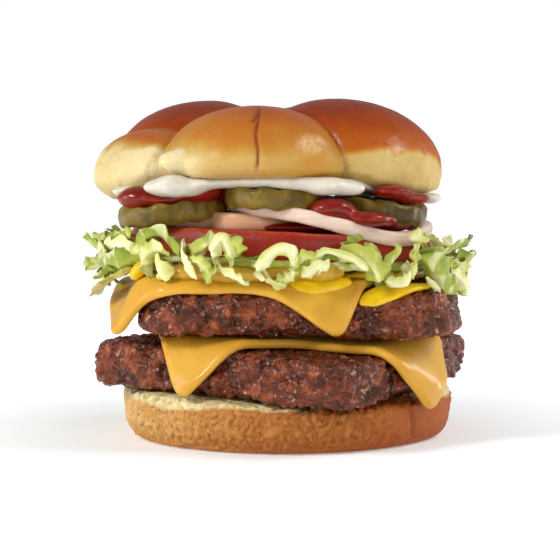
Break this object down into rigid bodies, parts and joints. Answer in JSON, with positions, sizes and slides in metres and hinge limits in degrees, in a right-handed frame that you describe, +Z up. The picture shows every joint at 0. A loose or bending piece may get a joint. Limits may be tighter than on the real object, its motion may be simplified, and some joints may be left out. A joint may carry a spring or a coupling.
{
  "type": "double cheeseburger",
  "caption": "Double cheeseburger: a lobed soft bun on square beef patties with melted cheese, shredded lettuce, tomato, onion rings, pickles, ketchup, mustard and mayonnaise.",
  "frame": {"origin": "on the surface that it stands on, under the middle of the whole stack's box", "axes": "+Z up through the layers, -Y towards the front that the diner faces, +X to the diner's right"},
  "size_m": [0.1228, 0.1214, 0.1117],
  "materials": {
    "bun_crust": "soft golden-brown baked crust with a satin glaze, paler at the sides",
    "bun_heel": "dry golden bread crust, pitted, with a pale toasted cut edge",
    "beef": "dark brown griddled ground beef, lumpy, with wet fat highlights",
    "cheese": "smooth melted processed cheese, satin",
    "mustard": "bright yellow mustard, glossy",
    "lettuce": "crisp shredded leaf, pale ribs and lime edges, satin",
    "tomato": "wet red tomato skin and flesh",
    "onion": "translucent white raw onion, wet",
    "pickle": "olive crinkle-cut pickled cucumber with a darker rind, wet",
    "ketchup": "thick glossy ketchup",
    "mayonnaise": "thick off-white mayonnaise, satin"
  },
  "bodies": {
    "root": {"bun_base": "bun_heel", "patty_lower": "beef", "cheese_lower": "cheese", "patty_upper": "beef", "cheese_upper": "cheese", "mustard": "mustard", "lettuce": "lettuce", "tomato": "tomato", "onion_left": "onion", "onion_right": "onion", "pickle_left": "pickle", "pickle_centre": "pickle", "pickle_right": "pickle", "pickle_back": "pickle", "ketchup": "ketchup", "mayonnaise": "mayonnaise", "bun_top": "bun_crust"}
  },
  "joints": []
}
